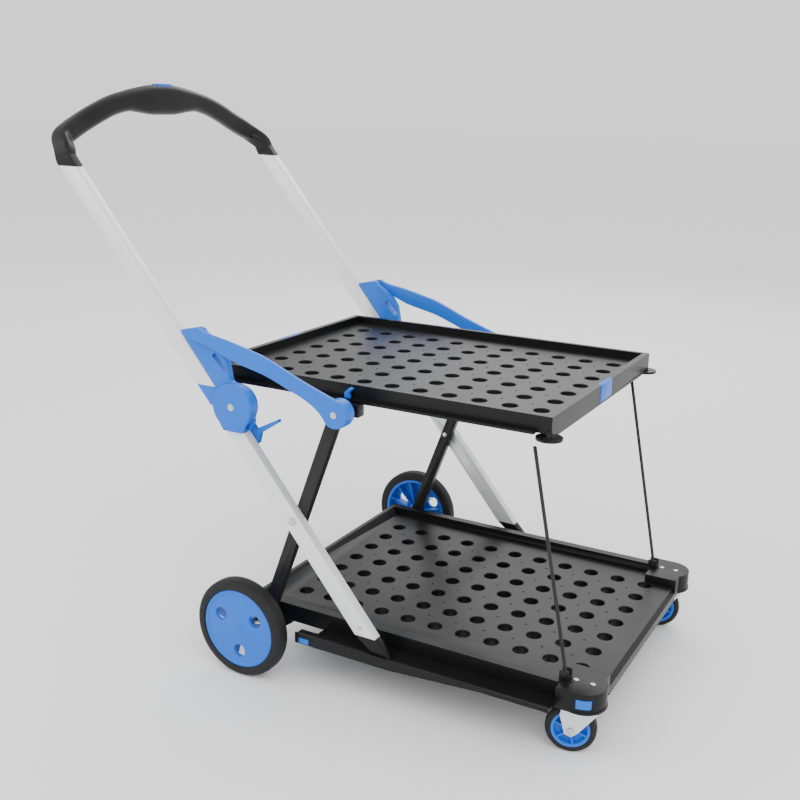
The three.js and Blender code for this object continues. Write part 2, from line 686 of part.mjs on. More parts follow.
// ---- tray -----------------------------------------------------------------------------
function tray() {
  const t = plateThickness;
  const inner = trayHalfWidth - trayRimWidth;
  const half = [
    [0, trayFloorTop], [inner, trayFloorTop], [inner, trayRimTop], [trayHalfWidth, trayRimTop],
    [trayHalfWidth, trayLipTop], [trayHalfWidth + guideLipWidth, trayLipTop],
    [trayHalfWidth + guideLipWidth, trayLipBottom], [inner + 4, trayLipBottom],
    [inner + 4, trayFloorTop - t], [0, trayFloorTop - t],
  ];
  const other = half.slice(1, -1).reverse().map(([y, z]) => [-y, z]);
  let body = longSection([...half, ...other], trayRearX, trayFrontX);
  const wall = [
    [0, trayRimTop], [-trayRimWidth - 2, trayRimTop], [-trayRimWidth - 2, trayFloorTop - t],
    [-t, trayFloorTop - t], [-t, trayWallBottom], [0, trayWallBottom],
  ];
  const front = wall.map(([x, z]) => [trayFrontX + x, z]);
  const rear = wall.map(([x, z]) => [trayRearX - x, z]);
  for (const outline of [front, rear]) {
    body = body.add(sidePlate(outline, -trayHalfWidth, trayHalfWidth, 1));
  }
  for (const [, sign] of sides) {
    for (const [x0, x1] of [[trayRearX - 1, trayRearX + 10], [trayFrontX - 24, trayFrontX + 1]]) {
      body = body.subtract(block(x0, x1, sign * trayHalfWidth,
        sign * (trayHalfWidth + guideLipWidth + 1), trayWallBottom - 26, trayRimTop - 2));
    }
    const x = trayFrontX - 5;
    const y = sign * (trayHalfWidth - 4);
    body = body.add(uprightRod(x, y, 21, trayLipBottom - 9, trayLipBottom - 5, 28));
    body = body.add(uprightRod(x, y, 6, trayLipBottom - 6, trayLipBottom + 5, 12));
  }
  body = body.subtract(block(trayFrontX, trayFrontX + 30, -trayHalfWidth - 1, trayHalfWidth + 1,
    trayLipBottom, trayRimTop + 1));
  for (const outward of [1, -1]) {
    body = body.subtract(clipSlot(outward, seat));
  }
  return body.subtract(holeGrid(trayRearX, trayFrontX, trayHalfWidth, trayHoleMargin, 8,
    trayHoleRadius, trayFloorTop - 10, trayFloorTop + 5));
}

// Notch for a latch in the front (outward 1) or rear (outward -1) rim of the tray.
function clipSlot(outward, gap) {
  const face = outward > 0 ? trayFrontX : trayRearX;
  const x0 = face - outward * (clipDepth + gap);
  const x1 = face + outward * 5;
  const half = clipHalfWidth + gap;
  return block(Math.min(x0, x1), Math.max(x0, x1), -half, half, clipBottom(outward) - gap,
    trayRimTop + 2);
}

function clipBottom(outward) {
  return trayRimTop - (outward > 0 ? frontClipHeight : rearClipHeight);
}

function trayClip(outward) {
  const face = outward > 0 ? trayFrontX : trayRearX;
  const x0 = face - outward * clipDepth;
  const x1 = face + outward;
  return block(Math.min(x0, x1), Math.max(x0, x1), -clipHalfWidth, clipHalfWidth,
    clipBottom(outward), trayRimTop + 0.5);
}

function trayHook(sign) {
  const z0 = trayLipTop + seat;
  const outline = [[topPinX - 14, z0], [topPinX - 4, z0], [topPinX - 6, z0 + 9],
    [topPinX + 2, z0 + 17], [topPinX - 4, z0 + 19], [topPinX - 14, z0 + 10]];
  return sidePlate(outline, trayHalfWidth + seat, trayHalfWidth + 9, sign);
}

function trayShoe(sign) {
  const top = trayLipBottom - seat;
  const body = block(topPinX - 20, topPinX + 20, sign * shoeInnerY, sign * shoeOuterY,
    topPinZ - 12, top);
  const bore = pinRadius + running;
  return body.subtract(crossRod(topPinX, topPinZ, bore, shoeInnerY, shoeOuterY + 1, sign));
}

// ---- stays ------------------------------------------------------------------------------
function stay(sign) {
  const along = new THREE.Vector3(stayTopX - stayFootX, 0, stayTopZ - stayFootZ);
  const geometry = new THREE.CylinderGeometry(stayRadius, stayRadius, along.length(), 10);
  geometry.translate(0, along.length() / 2, 0);
  geometry.rotateX(Math.PI / 2);
  geometry.rotateY(Math.atan2(along.x, along.z));
  geometry.translate(stayFootX, sign * stayY, stayFootZ);
  const foot = crossRod(stayFootX, stayFootZ, stayFootRadius, stayY - 5, stayY + 5, sign, 16);
  return solid(geometry).add(foot);
}

function stayClamp(sign) {
  const base = platformRimTop + seat;
  const top = stayFootZ + 7;
  const seatTop = stayFootZ - stayFootRadius - running;
  const rear = stayFootX - 8;
  const front = stayFootX + 8;
  let body = block(rear, front, sign * (stayY - 9), sign * (stayY + 9), base, seatTop);
  body = body.add(block(rear, front, sign * (stayY + 5 + seat), sign * (stayY + 9), base, top));
  return body.add(block(rear, front, sign * (stayY - 9), sign * (stayY - 5 - seat), base, top));
}

// ---- assembly -------------------------------------------------------------------------------
cart.add(part('platform', platform(), 'black'));
cart.add(part('rear_axle', rearAxle(), 'steel'));
cart.add(part('tray', tray(), 'black'));
cart.add(part('tray_clip_front', trayClip(1), 'blue'));
cart.add(part('tray_clip_rear', trayClip(-1), 'blue'));
cart.add(part('handle', handle(), 'black'));
cart.add(part('handle_button', handleButton(), 'blue'));
for (const [side, sign] of sides) {
  const pieces = [
    ['caster_housing', casterHousing, 'black'],
    ['caster_release_button', releaseButton, 'blue'],
    ['platform_button', sideButton, 'blue'],
    ['rear_tyre', rearTyre, 'rubber'],
    ['rear_rim', rearRim, 'blue'],
    ['caster_fork', casterFork, 'zinc'],
    ['caster_tyre', casterTyre, 'rubber'],
    ['caster_rim', casterRim, 'blue'],
    ['caster_bolt', casterBolt, 'steel'],
    ['strut', strut, 'coated'],
    ['cross_pin', crossPin, 'steel'],
    ['top_pin', topPin, 'steel'],
    ['lower_tube', lowerTube, 'aluminium'],
    ['upper_tube', upperTube, 'aluminium'],
    ['foot_plug', footPlug, 'black'],
    ['lower_hinge', lowerHinge, 'blue'],
    ['upper_hinge', upperHinge, 'blue'],
    ['hinge_pin', hingePin, 'steel'],
    ['release_lever', releaseLever, 'blue'],
    ['link', link, 'blue'],
    ['tray_hook', trayHook, 'blue'],
    ['tray_shoe', trayShoe, 'black'],
    ['stay', stay, 'coated'],
    ['stay_clamp', stayClamp, 'coated'],
  ];
  for (const [piece, make, finish] of pieces) {
    cart.add(part(`${side}_${piece}`, make(sign), finish));
  }
}

const extent = new THREE.Box3().setFromObject(cart);
cart.position.x = -(extent.min.x + extent.max.x) / 2;
cart.position.z = -extent.min.z;
cart.updateMatrixWorld(true);

export default cart;
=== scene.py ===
import json
from math import cos, pi, radians, sin

import bmesh
import bpy
from mathutils import Matrix, Vector
from mathutils.bvhtree import BVHTree


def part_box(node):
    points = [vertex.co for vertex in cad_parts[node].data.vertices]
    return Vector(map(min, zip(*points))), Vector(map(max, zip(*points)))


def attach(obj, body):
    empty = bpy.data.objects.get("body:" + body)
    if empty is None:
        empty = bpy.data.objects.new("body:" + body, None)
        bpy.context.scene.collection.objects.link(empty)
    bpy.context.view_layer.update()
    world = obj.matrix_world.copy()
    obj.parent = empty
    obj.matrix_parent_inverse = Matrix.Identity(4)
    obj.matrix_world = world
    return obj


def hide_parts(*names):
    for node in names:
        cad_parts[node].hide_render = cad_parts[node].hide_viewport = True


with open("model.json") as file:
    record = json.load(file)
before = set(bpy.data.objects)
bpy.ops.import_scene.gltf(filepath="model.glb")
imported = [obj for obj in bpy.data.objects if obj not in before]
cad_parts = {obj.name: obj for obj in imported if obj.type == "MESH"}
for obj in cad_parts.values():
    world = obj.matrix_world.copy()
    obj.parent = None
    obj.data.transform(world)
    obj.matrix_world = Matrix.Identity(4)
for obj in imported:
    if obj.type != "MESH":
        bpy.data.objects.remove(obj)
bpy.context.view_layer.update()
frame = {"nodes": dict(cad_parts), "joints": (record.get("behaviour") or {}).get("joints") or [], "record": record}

bl_info = {
    "name": "Folding platform cart",
    "version": (1, 0, 0),
    "blender": (4, 5, 0),
    "location": "3D View > Sidebar > Cart",
    "description": "Builds the looks of a folding two-level hand cart around its packed frame",
    "category": "Add Mesh",
}

NODES = frame["nodes"]
MM = 0.001
SIDES = (("left", 1), ("right", -1))
HOLE_COLUMNS, HOLE_ROWS = 11, 7
HOLE_SIDES = 28
BOSS_SIDES = 56
FLOOR_DROP = 14 * MM            # deck floor below the rim
FLOOR_THICKNESS = 4 * MM
COLLAR_DEPTH = 14 * MM          # collars under the holes, from the floor's top
COLLAR_WALL = 2 * MM
DIMPLE_RADIUS = 2.6 * MM
DIMPLE_RISE = 1.3 * MM          # centre of each mould dimple above the floor
REAR_TYRE_BAND = 17.7 * MM      # rubber from the bead to the tread
WHEEL_HOLES = 3
WHEEL_HOLE_CIRCLE = 42 * MM
WHEEL_RIBS = 12
CASTER_RADIUS = 41 * MM
CASTER_HALF_WIDTH = 12 * MM
CASTER_TYRE_BAND = 9.7 * MM
CASTER_SPOKES = 6
SLEEVE_STEPS = 6                # handle sections over which the sleeves turn level
SLEEVE_STRETCH = 1.267          # depth of a level cut through the leaning sleeve


def box(node):
    low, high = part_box(node)
    return Vector(low), Vector(high)


def middle(node):
    low, high = box(node)
    return (low + high) / 2


AXLE = middle("rear_axle")


# ---- settings ---------------------------------------------------------------

class CartSizes(bpy.types.PropertyGroup):
    edge_round: bpy.props.FloatProperty(
        name="Edge rounding", description="Radius on the edges of moulded and cut pieces",
        default=0.9 * MM, min=0.1 * MM, unit="LENGTH")
    tube_round: bpy.props.FloatProperty(
        name="Tube corner", description="Corner radius of the aluminium tubes",
        default=0.792 * MM, min=0.1 * MM, unit="LENGTH")
    hole_radius: bpy.props.FloatProperty(
        name="Hole radius", description="Radius of the round holes in the tray and the platform",
        default=12.6 * MM, min=4 * MM, unit="LENGTH")
    hole_round: bpy.props.FloatProperty(
        name="Hole rim rounding", description="Radius rolled over the upper edge of each hole",
        default=1.8 * MM, min=0.2 * MM, unit="LENGTH")
    pitch_x: bpy.props.FloatProperty(
        name="Hole pitch along", description="Distance between hole columns",
        default=53.7 * MM, unit="LENGTH")
    pitch_y: bpy.props.FloatProperty(
        name="Hole pitch across", description="Distance between hole rows",
        default=59 * MM, unit="LENGTH")


class CartColours(bpy.types.PropertyGroup):
    black: bpy.props.FloatVectorProperty(
        name="Black plastic", description="Tray, platform, handle and plugs",
        subtype="COLOR", size=3, default=(0.0045, 0.0045, 0.0047))
    blue: bpy.props.FloatVectorProperty(
        name="Blue plastic", description="Hinges, links, rims, buttons and latches",
        subtype="COLOR", size=3, default=(0.012, 0.14, 0.64))
    aluminium: bpy.props.FloatVectorProperty(
        name="Aluminium", description="Frame tubes", subtype="COLOR", size=3,
        default=(0.83, 0.84, 0.83))
    zinc: bpy.props.FloatVectorProperty(
        name="Zinc", description="Caster forks", subtype="COLOR", size=3,
        default=(0.74, 0.76, 0.78))
    steel: bpy.props.FloatVectorProperty(
        name="Steel", description="Pins, rivets and screws", subtype="COLOR", size=3,
        default=(0.62, 0.62, 0.63))
    rubber: bpy.props.FloatVectorProperty(
        name="Rubber", description="Tyres", subtype="COLOR", size=3,
        default=(0.011, 0.011, 0.012))


# ---- shader groups ----------------------------------------------------------

def new_group(name, inputs, outputs):
    tree = bpy.data.node_groups.new(name, "ShaderNodeTree")
    for label, kind, value in inputs:
        socket = tree.interface.new_socket(name=label, in_out="INPUT", socket_type=kind)
        if value is not None:
            socket.default_value = value
    for label, kind in outputs:
        tree.interface.new_socket(name=label, in_out="OUTPUT", socket_type=kind)
    return tree, tree.nodes.new("NodeGroupInput"), tree.nodes.new("NodeGroupOutput")


def grain_group():
    """Fine moulded or cast grain: a height that changes over the surface."""
    tree, start, end = new_group(
        "fine_grain",
        [("Scale", "NodeSocketFloat", 900.0), ("Depth", "NodeSocketFloat", 1.0)],
        [("Height", "NodeSocketFloat")])
    nodes, links = tree.nodes, tree.links
    place = nodes.new("ShaderNodeTexCoord")
    noise = nodes.new("ShaderNodeTexNoise")
    noise.inputs["Detail"].default_value = 3
    times = nodes.new("ShaderNodeMath")
    times.operation = "MULTIPLY"
    links.new(place.outputs["Object"], noise.inputs["Vector"])
    links.new(start.outputs["Scale"], noise.inputs["Scale"])
    links.new(noise.outputs["Fac"], times.inputs[0])
    links.new(start.outputs["Depth"], times.inputs[1])
    links.new(times.outputs[0], end.inputs["Height"])
    return tree


def wear_group():
    """Handling marks: soft patches and sparse fine scratches as one mask."""
    tree, start, end = new_group(
        "handling_wear",
        [("Amount", "NodeSocketFloat", 0.5), ("Patch Size", "NodeSocketFloat", 14.0)],
        [("Mask", "NodeSocketFloat")])
    nodes, links = tree.nodes, tree.links
    place = nodes.new("ShaderNodeTexCoord")
    patch = nodes.new("ShaderNodeTexNoise")
    patch.inputs["Detail"].default_value = 6
    stretch = nodes.new("ShaderNodeMapping")
    stretch.inputs["Scale"].default_value = (30, 260, 160)
    scratch = nodes.new("ShaderNodeTexNoise")
    scratch.inputs["Scale"].default_value = 1.0
    scratch.inputs["Detail"].default_value = 2
    thin = nodes.new("ShaderNodeMapRange")
    thin.inputs["From Min"].default_value = 0.62
    thin.inputs["From Max"].default_value = 0.74
    both = nodes.new("ShaderNodeMath")
    both.operation = "ADD"
    times = nodes.new("ShaderNodeMath")
    times.operation = "MULTIPLY"
    links.new(place.outputs["Object"], patch.inputs["Vector"])
    links.new(start.outputs["Patch Size"], patch.inputs["Scale"])
    links.new(place.outputs["Object"], stretch.inputs["Vector"])
    links.new(stretch.outputs["Vector"], scratch.inputs["Vector"])
    links.new(scratch.outputs["Fac"], thin.inputs["Value"])
    links.new(patch.outputs["Fac"], both.inputs[0])
    links.new(thin.outputs["Result"], both.inputs[1])
    links.new(both.outputs[0], times.inputs[0])
    links.new(start.outputs["Amount"], times.inputs[1])
    links.new(times.outputs[0], end.inputs["Mask"])
    return tree


def dust_group():
    """A trace of dust that settles on faces looking up."""
    tree, start, end = new_group(
        "settled_dust",
        [("Amount", "NodeSocketFloat", 0.1)],
        [("Mask", "NodeSocketFloat")])
    nodes, links = tree.nodes, tree.links
    where = nodes.new("ShaderNodeNewGeometry")
    split = nodes.new("ShaderNodeSeparateXYZ")
    place = nodes.new("ShaderNodeTexCoord")
    noise = nodes.new("ShaderNodeTexNoise")
    noise.inputs["Scale"].default_value = 38
    noise.inputs["Detail"].default_value = 5
    up = nodes.new("ShaderNodeMapRange")
    up.inputs["From Min"].default_value = 0.5
    up.inputs["From Max"].default_value = 1.0
    times = nodes.new("ShaderNodeMath")
    times.operation = "MULTIPLY"
    amount = nodes.new("ShaderNodeMath")
    amount.operation = "MULTIPLY"
    links.new(where.outputs["Normal"], split.inputs[0])
    links.new(split.outputs["Z"], up.inputs["Value"])
    links.new(place.outputs["Object"], noise.inputs["Vector"])
    links.new(up.outputs["Result"], times.inputs[0])
    links.new(noise.outputs["Fac"], times.inputs[1])
    links.new(times.outputs[0], amount.inputs[0])
    links.new(start.outputs["Amount"], amount.inputs[1])
    links.new(amount.outputs[0], end.inputs["Mask"])
    return tree


GROUPS = {}


def place_group(material, key, **values):
    if key not in GROUPS:
        GROUPS[key] = {"grain": grain_group, "wear": wear_group, "dust": dust_group}[key]()
    node = material.node_tree.nodes.new("ShaderNodeGroup")
    node.node_tree = GROUPS[key]
    for label, value in values.items():
        node.inputs[label.replace("_", " ")].default_value = value
    return node


# ---- materials --------------------------------------------------------------

def surface(name, colour, worn, rough, rough_worn, metallic=0.0, grain=900.0, bump=0.04,
            wear=0.5, patch=14.0, dust=0.0):
    """One finish: colour and roughness vary with wear, and a fine grain lifts the normal."""
    material = bpy.data.materials.new(name)
    material.use_nodes = True
    nodes, links = material.node_tree.nodes, material.node_tree.links
    shader = nodes["Principled BSDF"]
    shader.inputs["Metallic"].default_value = metallic
    shader.inputs["Specular IOR Level"].default_value = 0.5 if metallic else 0.22
    marks = place_group(material, "wear", Amount=wear, Patch_Size=patch)
    tint = nodes.new("ShaderNodeMix")
    tint.data_type = "RGBA"
    tint.inputs[6].default_value = (*colour, 1)
    tint.inputs[7].default_value = (*worn, 1)
    links.new(marks.outputs["Mask"], tint.inputs[0])
    colour_out = tint.outputs[2]
    if dust:
        settled = place_group(material, "dust", Amount=dust)
        pale = nodes.new("ShaderNodeMix")
        pale.data_type = "RGBA"
        pale.inputs[7].default_value = (0.35, 0.34, 0.32, 1)
        links.new(settled.outputs["Mask"], pale.inputs[0])
        links.new(colour_out, pale.inputs[6])
        colour_out = pale.outputs[2]
    links.new(colour_out, shader.inputs["Base Color"])
    gloss = nodes.new("ShaderNodeMapRange")
    gloss.inputs["To Min"].default_value = rough
    gloss.inputs["To Max"].default_value = rough_worn
    links.new(marks.outputs["Mask"], gloss.inputs["Value"])
    links.new(gloss.outputs["Result"], shader.inputs["Roughness"])
    fine = place_group(material, "grain", Scale=grain, Depth=1.0)
    lift = nodes.new("ShaderNodeBump")
    lift.inputs["Strength"].default_value = bump
    lift.inputs["Distance"].default_value = 0.4 * MM
    links.new(fine.outputs["Height"], lift.inputs["Height"])
    links.new(lift.outputs["Normal"], shader.inputs["Normal"])
    return material


def brushed(material, stretch):
    """Turns a metal's grain into fine lines, closer together along the larger stretch."""
    nodes, links = material.node_tree.nodes, material.node_tree.links
    place = nodes.new("ShaderNodeTexCoord")
    turn = nodes.new("ShaderNodeMapping")
    turn.inputs["Scale"].default_value = stretch
    lines = nodes.new("ShaderNodeTexNoise")
    lines.inputs["Scale"].default_value = 1.0
    lines.inputs["Detail"].default_value = 3
    lift = next(n for n in nodes if n.type == "BUMP")
    links.new(place.outputs["Object"], turn.inputs["Vector"])
    links.new(turn.outputs["Vector"], lines.inputs["Vector"])
    links.new(lines.outputs["Fac"], lift.inputs["Height"])
    return material


MATERIALS = {}


def make_materials():
    paint = bpy.context.scene.cart_colours
    black, blue = tuple(paint.black), tuple(paint.blue)
    MATERIALS["black_plastic"] = surface(
        "black_plastic", black, (0.009, 0.009, 0.0095), 0.3, 0.46, grain=1300, bump=0.1,
        wear=0.5, dust=0.012)
    MATERIALS["blue_plastic"] = surface(
        "blue_plastic", blue, (0.016, 0.165, 0.68), 0.34, 0.44, grain=1500, bump=0.05, wear=0.4)
    MATERIALS["aluminium"] = brushed(surface(
        "aluminium", tuple(paint.aluminium), (0.76, 0.77, 0.78), 0.36, 0.46, metallic=0.35,
        bump=0.03, wear=0.3), (60.0, 900.0, 60.0))
    MATERIALS["zinc"] = surface(
        "zinc", tuple(paint.zinc), (0.66, 0.68, 0.7), 0.3, 0.5, metallic=0.55, grain=300,
        bump=0.03, wear=0.5, patch=60)
    MATERIALS["steel"] = surface(
        "steel", tuple(paint.steel), (0.5, 0.5, 0.5), 0.24, 0.42, metallic=1.0, grain=700,
        bump=0.03, wear=0.5, patch=60)
    MATERIALS["rubber"] = surface(
        "rubber", tuple(paint.rubber), (0.024, 0.024, 0.024), 0.55, 0.75, grain=700,
        bump=0.25, wear=0.5, patch=22)
    MATERIALS["coated_steel"] = surface(
        "coated_steel", (0.012, 0.012, 0.012), (0.03, 0.03, 0.03), 0.33, 0.45, grain=500,
        bump=0.12, wear=0.4, patch=30)


# ---- mesh helpers -----------------------------------------------------------

def finish_mesh(obj, angle=32):
    mesh = obj.data
    mesh.polygons.foreach_set("use_smooth", [True] * len(mesh.polygons))
    mesh.set_sharp_from_angle(angle=radians(angle))
    mesh.update()


def stand(name, bm, slot, body, replaces=(), angle=32):
    """Turns a bmesh into a finished piece that rides on a body."""
    mesh = bpy.data.meshes.new(name)
    bm.to_mesh(mesh)
    bm.free()
    mesh.materials.append(MATERIALS[slot])
    obj = bpy.data.objects.new(name, mesh)
    bpy.context.scene.collection.objects.link(obj)
    finish_mesh(obj, angle)
    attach(obj, body)
    if replaces:
        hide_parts(*replaces)
    return obj


def merged_copy(node):
    """A copy of a frame node with its triangles merged into flat faces."""
    bm = bmesh.new()
    bm.from_mesh(NODES[node].data)
    bmesh.ops.remove_doubles(bm, verts=bm.verts, dist=0.005 * MM)
    bmesh.ops.dissolve_limit(bm, angle_limit=radians(1.5), verts=bm.verts, edges=bm.edges)
    bmesh.ops.dissolve_degenerate(bm, edges=bm.edges, dist=0.02 * MM)
    return bm


def round_edges(bm, width, segments=2, angle=28):
    """Rounds the sharp edges, more finely where the full width would push the surface out."""
    before = BVHTree.FromBMesh(bm)
    for share in (1.0, 0.6, 0.35, 0.2):
        trial = bm.copy()
        sharp = [e for e in trial.edges
                 if len(e.link_faces) == 2 and e.calc_face_angle(0) > radians(angle)]
        bmesh.ops.bevel(trial, geom=sharp, offset=width * share, offset_type="OFFSET",
                        segments=segments, profile=0.5, affect="EDGES", clamp_overlap=True,
                        material=-1)
        reach = width * share * 1.2
        if all(before.find_nearest(v.co)[3] < reach for v in trial.verts):
            if all(len(e.link_faces) == 2 for e in trial.edges):
                bm.free()
                return trial
        trial.free()
    return bm


def carve(bm, cutter, operation="DIFFERENCE"):
    """Joins or cuts two closed shapes and gives back a new bmesh."""
    objects = []
    for label, source in (("work", bm), ("tool", cutter)):
        mesh = bpy.data.meshes.new(label)
        source.to_mesh(mesh)
        source.free()
        obj = bpy.data.objects.new(label, mesh)
        bpy.context.scene.collection.objects.link(obj)
        objects.append(obj)
    work, tool = objects
    step = work.modifiers.new("carve", "BOOLEAN")
    step.operation = operation
    step.solver = "EXACT"
    step.object = tool
    graph = bpy.context.evaluated_depsgraph_get()
    result = bmesh.new()
    result.from_object(work, graph)
    for obj in objects:
        mesh = obj.data
        bpy.data.objects.remove(obj)
        bpy.data.meshes.remove(mesh)
    if not result.faces:
        raise RuntimeError("a cut left nothing")
    return result


def block(bm, low, high):
    low, high = Vector(low), Vector(high)
    size = high - low
    place = Matrix.Translation((low + high) / 2) @ Matrix.Diagonal((*size, 1))
    return bmesh.ops.create_cube(bm, size=1, matrix=place)["verts"]


def spun(bm, profile, centre, axis, steps=48):
    """Turns a closed profile of (radius, along) about an axis through centre."""
    axis = Vector(axis).normalized()
    out = axis.orthogonal().normalized()
    verts = [bm.verts.new(Vector(centre) + out * r + axis * a) for r, a in profile]
    edges = [bm.edges.new(pair) for pair in zip(verts, verts[1:])]
    if profile[0][0] > 0:
        edges.append(bm.edges.new((verts[-1], verts[0])))
    bmesh.ops.spin(bm, geom=verts + edges, cent=centre, axis=axis, angle=2 * pi,
                   steps=steps, use_merge=True, use_duplicate=False)


def joined(*parts):
    """Puts closed shapes side by side in one mesh."""
    whole = bmesh.new()
    for part in parts:
        mesh = bpy.data.meshes.new("part")
        part.to_mesh(mesh)
        part.free()
        whole.from_mesh(mesh)
        bpy.data.meshes.remove(mesh)
    return whole


def circle(x, y, z, radius, sides):
    """Points round a level circle."""
    return [(x + radius * cos(2 * pi * i / sides), y + radius * sin(2 * pi * i / sides), z)
            for i in range(sides)]


def stacked(bm, rings):
    """A closed skin through rings of points, capped at both ends."""
    loops = [[bm.verts.new(point) for point in ring] for ring in rings]
    count = len(loops[0])
    for low, high in zip(loops, loops[1:]):
        for i in range(count):
            j = (i + 1) % count
            bm.faces.new((low[i], low[j], high[j], high[i]))
    bm.faces.new(list(reversed(loops[0])))
    bm.faces.new(loops[-1])


def collar(bm, x, y, inner, outer, low, high):
    """A short upright tube around (x, y)."""
    loops = [[bm.verts.new(point) for point in circle(x, y, z, radius, HOLE_SIDES)]
             for radius, z in ((inner, low), (inner, high), (outer, high), (outer, low))]
    for first, second in zip(loops, loops[1:] + loops[:1]):
        for i in range(HOLE_SIDES):
            j = (i + 1) % HOLE_SIDES
            bm.faces.new((first[j], first[i], second[i], second[j]))


def tidy(bm):
    """Merges doubles, drops faces with no area and turns the rest outwards."""
    bmesh.ops.remove_doubles(bm, verts=bm.verts, dist=0.002 * MM)
    flat = [f for f in bm.faces if f.calc_area() < 1e-12]
    if flat:
        bmesh.ops.delete(bm, geom=flat, context="FACES_ONLY")
    bmesh.ops.recalc_face_normals(bm, faces=bm.faces)
    return bm


def arc(centre_r, centre_a, radius, start, end, steps=5):
    """Points of (radius, along) round part of a circle, in degrees."""
    return [(centre_r + radius * cos(radians(start + (end - start) * i / steps)),
             centre_a + radius * sin(radians(start + (end - start) * i / steps)))
            for i in range(steps + 1)]


def domed_head(bm, centre, outward, radius, height, recess=0.35):
    """Rivet or screw head: a low dome with a small round recess in its middle."""
    rim = [(0.0, -height), (radius, -height), (radius, height * 0.25)]
    crown = [(radius * cos(radians(a)), height * (0.25 + 0.75 * sin(radians(a))))
             for a in (25, 50, 68)]
    dip = [(radius * recess, height), (radius * recess * 0.8, height * 0.3), (0.0, height * 0.3)]
    spun(bm, rim + crown + dip, centre, outward, steps=24)


# ---- pieces -----------------------------------------------------------------

def hole_places(centre_x):
    """Where the holes of a deck stand, with their columns and rows."""
    sizes = bpy.context.scene.cart_sizes
    for column in range(HOLE_COLUMNS):
        for row in range(HOLE_ROWS):
            x = centre_x + (column - (HOLE_COLUMNS - 1) / 2) * sizes.pitch_x
            y = (row - (HOLE_ROWS - 1) / 2) * sizes.pitch_y
            yield column, row, x, y


def closed_deck(node, floor_top, low_x, high_x, half_y):
    """The frame's own deck with the plain holes in its floor closed."""
    bm = bmesh.new()
    bm.from_mesh(NODES[node].data)
    bmesh.ops.remove_doubles(bm, verts=bm.verts, dist=0.005 * MM)
    slack = 0.1 * MM
    bored = [v for v in bm.verts
             if low_x < v.co.x < high_x and abs(v.co.y) < half_y
             and floor_top - FLOOR_THICKNESS - slack < v.co.z < floor_top + slack]
    bmesh.ops.delete(bm, geom=bored, context="VERTS")
    rims = [e for e in bm.edges if e.is_boundary]
    bmesh.ops.holes_fill(bm, edges=rims, sides=0)
    bmesh.ops.triangulate(bm, faces=bm.faces)
    bmesh.ops.recalc_face_normals(bm, faces=bm.faces)
    return bm


def bored_deck(node, body, hole_centre_x, low_x, high_x, half_y):
    """A moulded deck: the frame's own rims, and a floor with rolled holes, collars and dimples."""
    sizes = bpy.context.scene.cart_sizes
    radius, roll = sizes.hole_radius, sizes.hole_round
    floor_top = box(node)[1].z - FLOOR_DROP
    levels = [(radius, -20 * MM)]
    levels += [(radius + roll - roll * cos(radians(a)), -roll + roll * sin(radians(a)))
               for a in (0, 30, 60, 84)]
    levels += [(radius + roll, 4 * MM)]
    pattern = bmesh.new()
    collars = bmesh.new()
    for column, row, x, y in hole_places(hole_centre_x):
        stacked(pattern, [circle(x, y, floor_top + z, r, HOLE_SIDES) for r, z in levels])
        if column < HOLE_COLUMNS - 1 and row < HOLE_ROWS - 1:
            spot = Matrix.Translation((x + sizes.pitch_x / 2, y + sizes.pitch_y / 2,
                                       floor_top + DIMPLE_RISE))
            bmesh.ops.create_uvsphere(pattern, u_segments=10, v_segments=6,
                                      radius=DIMPLE_RADIUS, matrix=spot)
        collar(collars, x, y, radius, radius + COLLAR_WALL,
               floor_top - COLLAR_DEPTH, floor_top - FLOOR_THICKNESS)
    bmesh.ops.recalc_face_normals(pattern, faces=pattern.faces)
    deck = carve(closed_deck(node, floor_top, low_x, high_x, half_y), pattern)
    stand(node + "_moulded", joined(deck, collars), "black_plastic", body, (node,), angle=14)


def softened(node, slot, width, segments=2):
    """The frame's own piece with its edges rounded."""
    bm = round_edges(merged_copy(node), width, segments)
    stand(node + "_moulded", bm, slot, body_of(node), (node,))


def body_of(node):
    for body, nodes in frame["record"]["behaviour"]["bodies"].items():
        if node in nodes:
            return body
    raise RuntimeError("no body holds " + node)


class CART_OT_decks(bpy.types.Operator):
    """Tray and platform, each with its grid of rolled holes."""
    bl_idname = "cart.decks"
    bl_label = "Tray and platform"

    def execute(self, context):
        bored_deck("tray", "tray_body", AXLE.x + 210 * MM,
                   AXLE.x - 105 * MM, AXLE.x + 508 * MM, 232 * MM)
        bored_deck("platform", "base", AXLE.x + 304.5 * MM,
                   AXLE.x + 5 * MM, AXLE.x + 605 * MM, 193 * MM)
        return {"FINISHED"}


def smooth_path(keys, steps):
    """Catmull-Rom curve through rows of numbers."""
    rows = []
    for i in range(len(keys) - 1):
        p = [keys[max(i - 1, 0)], keys[i], keys[i + 1], keys[min(i + 2, len(keys) - 1)]]
        for s in range(steps):
            t = s / steps
            rows.append([0.5 * ((2 * b) + (c - a) * t + (2 * a - 5 * b + 4 * c - d) * t * t
                                + (3 * b - a - 3 * c + d) * t ** 3)
                         for a, b, c, d in zip(*p)])
    rows.append(list(keys[-1]))
    return rows


def rounded_section(depth, height, corner, steps=5):
    """Points round a rectangle with rounded corners."""
    points = []
    corner = min(corner, depth / 2 - 0.1 * MM, height / 2 - 0.1 * MM)
    for quarter in range(4):
        sx = (1, -1, -1, 1)[quarter]
        sy = (1, 1, -1, -1)[quarter]
        for i in range(steps + 1):
            a = pi / 2 * (quarter + i / steps)
            points.append((sx * (depth / 2 - corner) + corner * cos(a),
                           sy * (height / 2 - corner) + corner * sin(a)))
    return points


